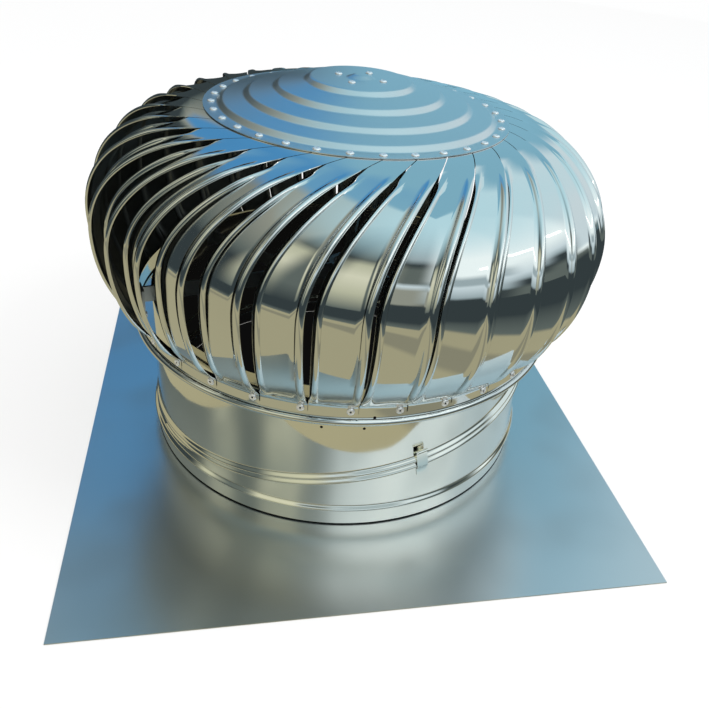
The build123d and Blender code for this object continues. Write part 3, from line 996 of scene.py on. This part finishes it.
@dataclass
class Studio:
    """Pale floor, soft light, a surround that only reflections see, and the camera."""

    floor_size: float = 60.0
    floor_drop: float = 0.0006
    floor_tone: float = 0.99
    floor_roughness: float = 0.9
    white_share: float = 0.55
    opening_radius: float = 0.2473
    opening_shade_tone: float = 0.004
    disc_sides: int = 96
    surround_radius: float = 5.0
    surround_segments: int = 64
    surround_rings: int = 32
    ground_offset: Triple = (0.45, 0.0, 0.0)
    ground_reach: float = 1.25
    sector_blend: float = 6.0
    sectors: tuple[Sector, ...] = (
        Sector(-155.0, LEFT_DARK),
        Sector(-88.0, LEFT_PALE),
        Sector(-72.0, LEFT_SHADE),
        Sector(-52.0, LEFT_PALE),
        Sector(-26.0, FRONT_GREY),
        Sector(-10.0, FRONT_BRIGHT),
        Sector(32.0, RIGHT_BRIGHT),
        Sector(54.0, RIGHT_EDGE),
        Sector(74.0, RIGHT_PALE),
        Sector(104.0, RIGHT_HAZE),
        Sector(138.0, RIGHT_BLUE),
        Sector(174.0, BACK),
    )
    aim_height: float = 0.25
    key_place: Triple = (1.1, -0.7, 1.9)
    key_size: float = 0.8
    key_power: float = 14.0
    strip_place: Triple = (2.34, -2.60, 3.08)
    strip_width: float = 6.4
    strip_depth: float = 0.13
    strip_power: float = 5.0
    strip_colour: Triple = (1.0, 0.95, 0.86)
    place: Triple = (-0.1555, -0.8888, 0.6772)
    forward: Triple = (0.2090, 0.8481, -0.4869)
    up: Triple = (0.0116, 0.4957, 0.8684)
    lens: float = 38.56
    shift: Point = (-0.05, -0.08)

    def floor(self) -> None:
        """Makes the floor, white to the camera but for the object's soft shadow."""
        bpy.ops.mesh.primitive_plane_add(size=self.floor_size, location=(0, 0, -self.floor_drop))
        floor = bpy.context.object
        floor.name = "floor"
        material = bpy.data.materials.new("pale_floor")
        material.use_nodes = True
        tree = material.node_tree
        nodes, links = tree.nodes, tree.links
        shader = nodes["Principled BSDF"]
        shader.inputs["Base Color"].default_value = (*[self.floor_tone] * 3, 1)
        shader.inputs["Roughness"].default_value = self.floor_roughness
        white = nodes.new("ShaderNodeEmission")
        mix = nodes.new("ShaderNodeMixShader")
        rays = nodes.new("ShaderNodeLightPath").outputs
        shown = worked_out(tree, "MAXIMUM", rays["Is Glossy Ray"], rays["Is Transmission Ray"])
        seen = worked_out(tree, "MAXIMUM", rays["Is Camera Ray"], shown)
        share = worked_out(tree, "MULTIPLY", seen, self.white_share)
        feed(tree, mix.inputs, (share, shader.outputs[0], white.outputs[0]))
        links.new(mix.outputs[0], nodes["Material Output"].inputs["Surface"])
        floor.data.materials.append(material)

    def glow_material(self, name: str) -> tuple[bpy.types.Material, bpy.types.NodeSocket]:
        """A plain glowing stage material.

        Args:
            name: The material's name.

        Returns:
            The material and its colour socket.
        """
        material = bpy.data.materials.new(name)
        material.use_nodes = True
        nodes, links = material.node_tree.nodes, material.node_tree.links
        nodes.remove(nodes["Principled BSDF"])
        glow = nodes.new("ShaderNodeEmission")
        links.new(glow.outputs[0], nodes["Material Output"].inputs["Surface"])
        return material, glow.inputs["Color"]

    def bands(
        self, tree: bpy.types.NodeTree, place: bpy.types.NodeSocket, stops: Bands
    ) -> bpy.types.NodeSocket:
        """A colour that changes along a value.

        Args:
            tree: The material's tree.
            place: A value from 0 to 1.
            stops: Tones by place, the first at 0 and the last at 1.

        Returns:
            The colour.
        """
        ramp = tree.nodes.new("ShaderNodeValToRGB")
        elements = ramp.color_ramp.elements
        elements[0].color, elements[-1].color = (*stops[0][1].value, 1), (*stops[-1][1].value, 1)
        for share, tone in stops[1:-1]:
            elements.new(share).color = (*tone.value, 1)
        tree.links.new(place, ramp.inputs["Fac"])
        return ramp.outputs["Color"]

    def reflection_only(self, card: bpy.types.Object, material: bpy.types.Material) -> None:
        """Sets a card on the stage where only mirrors see it."""
        card.visible_camera = False
        card.visible_diffuse = False
        card.visible_shadow = False
        card.data.materials.append(material)

    def disc(self, name: str, radius: float, drop: float) -> bpy.types.Object:
        """Lays a level disc under the part.

        Args:
            name: The disc's name.
            radius: Its radius, in metres.
            drop: How far it lies below the plate's underside.

        Returns:
            The disc.
        """
        bpy.ops.mesh.primitive_circle_add(
            vertices=self.disc_sides, radius=radius, fill_type="NGON", location=(0, 0, -drop)
        )
        disc = bpy.context.object
        disc.name = name
        return disc

    def ground(self) -> None:
        """Makes the warm ground that polished steel mirrors, and a near-black disc under the duct as painted
        shade in the roof opening.
        """
        card = self.disc("ground_card", self.surround_radius, self.floor_drop / 2)
        material, colour = self.glow_material("warm_ground")
        nodes, links = material.node_tree.nodes, material.node_tree.links
        place = nodes.new("ShaderNodeTexCoord")
        centred = nodes.new("ShaderNodeVectorMath")
        centred.inputs[1].default_value = self.ground_offset
        links.new(place.outputs["Object"], centred.inputs[0])
        reach = nodes.new("ShaderNodeVectorMath")
        reach.operation = "LENGTH"
        links.new(centred.outputs["Vector"], reach.inputs[0])
        away = nodes.new("ShaderNodeMapRange")
        away.inputs["From Max"].default_value = self.ground_reach
        links.new(reach.outputs["Value"], away.inputs["Value"])
        links.new(self.bands(material.node_tree, away.outputs["Result"], GROUND), colour)
        self.reflection_only(card, material)
        # Near-black disc under the duct: painted shade seen down the roof opening.
        opening = self.disc("roof_opening", self.opening_radius, self.floor_drop / 4)
        dark, colour = self.glow_material("opening_painted_shade")
        colour.default_value = (*[self.opening_shade_tone] * 3, 1)
        opening.data.materials.append(dark)

    def surround(self) -> None:
        """Makes the banded surround that polished steel mirrors."""
        bpy.ops.mesh.primitive_uv_sphere_add(
            segments=self.surround_segments, ring_count=self.surround_rings, radius=self.surround_radius
        )
        shell = bpy.context.object
        shell.name = "surround"
        material, colour = self.glow_material("banded_surround")
        tree = material.node_tree
        nodes, links = tree.nodes, tree.links
        place = nodes.new("ShaderNodeTexCoord")
        split = nodes.new("ShaderNodeSeparateXYZ")
        links.new(place.outputs["Object"], split.inputs[0])

        height = nodes.new("ShaderNodeMapRange")
        height.inputs["From Max"].default_value = self.surround_radius
        links.new(split.outputs["Z"], height.inputs["Value"])
        front = worked_out(tree, "MULTIPLY", split.outputs["Y"], -1.0)
        turn = worked_out(tree, "ARCTAN2", split.outputs["X"], front)
        shade = self.bands(tree, height.outputs["Result"], BACK)
        for sector in self.sectors:
            entry = nodes.new("ShaderNodeMapRange")
            entry.interpolation_type = "SMOOTHSTEP"
            entry.inputs["From Min"].default_value = math.radians(sector.start - self.sector_blend)
            entry.inputs["From Max"].default_value = math.radians(sector.start + self.sector_blend)
            links.new(turn, entry.inputs["Value"])
            mix = nodes.new("ShaderNodeMix")
            mix.data_type = "RGBA"
            links.new(entry.outputs["Result"], mix.inputs["Factor"])
            links.new(shade, mix.inputs["A"])
            links.new(self.bands(tree, height.outputs["Result"], sector.bands), mix.inputs["B"])
            shade = mix.outputs["Result"]
        links.new(shade, colour)
        self.reflection_only(shell, material)

    def lamp(
        self, name: str, place: Triple, width: float, depth: float, power: float
    ) -> bpy.types.Object:
        """Hangs a rectangular lamp that faces the vent.

        Args:
            name: The lamp's name.
            place: Where it hangs, in metres.
            width: Its level side.
            depth: Its other side.
            power: Watts.

        Returns:
            The lamp.
        """
        data = bpy.data.lights.new(name, "AREA")
        data.shape = "RECTANGLE"
        data.size, data.size_y = width, depth
        data.energy = power
        lamp = bpy.data.objects.new(name, data)
        lamp.location = place
        aim = Vector((0, 0, self.aim_height)) - lamp.location
        lamp.rotation_euler = aim.to_track_quat("-Z", "Y").to_euler()
        bpy.context.scene.collection.objects.link(lamp)
        return lamp

    def light(self) -> None:
        """Sets the world, the soft overhead lamp and the strip that draws thin highlights."""
        world = bpy.data.worlds.new("studio")
        bpy.context.scene.world = world
        world.use_nodes = True
        world.node_tree.nodes["Background"].inputs["Color"].default_value = (1, 1, 1, 1)
        world.node_tree.nodes["Background"].inputs["Strength"].default_value = 1.0
        key = self.lamp("soft_key", self.key_place, self.key_size, self.key_size, self.key_power)
        key.visible_glossy = False
        strip = self.lamp(
            "strip_light", self.strip_place, self.strip_width, self.strip_depth, self.strip_power
        )
        strip.data.color = self.strip_colour

    def camera(self) -> None:
        """Sets the camera at the photograph's viewing angle."""
        data = bpy.data.cameras.new("camera")
        data.lens = self.lens
        data.shift_x, data.shift_y = self.shift
        camera = bpy.data.objects.new("camera", data)
        back, up = -Vector(self.forward).normalized(), Vector(self.up)
        right = up.cross(back).normalized()
        turn = Matrix((right, back.cross(right), back)).transposed().to_4x4()
        camera.matrix_world = Matrix.Translation(self.place) @ turn
        bpy.context.scene.collection.objects.link(camera)
        bpy.context.scene.camera = camera


def dress_frame(finishes: dict[str, bpy.types.Material]) -> None:
    """Gives each CAD node the finish of its record slot.

    Args:
        finishes: Materials by slot name.
    """
    for part in frame["record"]["subparts"]:
        dress(frame["nodes"][part["node"]], finishes[part["material_slot"]])


def main() -> None:
    """Builds the scene."""
    logging.basicConfig(level=logging.INFO)
    marks = sheet_marks()
    mirror, satin = MIRROR_SHEET.material(marks), SATIN_PLATE.material(marks)
    cap_finish, rivet = SATIN_CAP.material(marks), BRIGHT_RIVET.material(marks)
    dress_frame(
        {
            "polished_sheet": mirror,
            "satin_sheet": satin,
            "bar_steel": BAR_STEEL.material(marks),
            "turned_steel": TURNED_STEEL.material(marks),
            "rivet": rivet,
        }
    )
    Vanes().build(mirror, DULL_INSIDE_PAINTED_SHADE.material(marks))
    Cap().build(cap_finish)
    Skirt().build(mirror)
    neck, neck_finish = Neck(), NECK_SHEET.material(marks)
    neck.build(neck_finish)
    SeamStrap(neck).build(neck_finish)
    # Near-black finish used as painted shade in holes, hollows and under the neck's edge.
    hollow_painted_shade = HOLLOW_PAINTED_SHADE.material(marks)
    # Painted shadow line at the neck's foot.
    FootShadowLine(neck).build(hollow_painted_shade)
    for punch in PUNCH_MARKS:
        punch.build(hollow_painted_shade)
    Rivets().build(RIVET_RINGS, rivet, hollow_painted_shade)
    studio = Studio()
    studio.floor()
    studio.ground()
    studio.surround()
    studio.light()
    studio.camera()
    bpy.context.scene.view_settings.view_transform = "Standard"


if __name__ == "__main__":
    main()
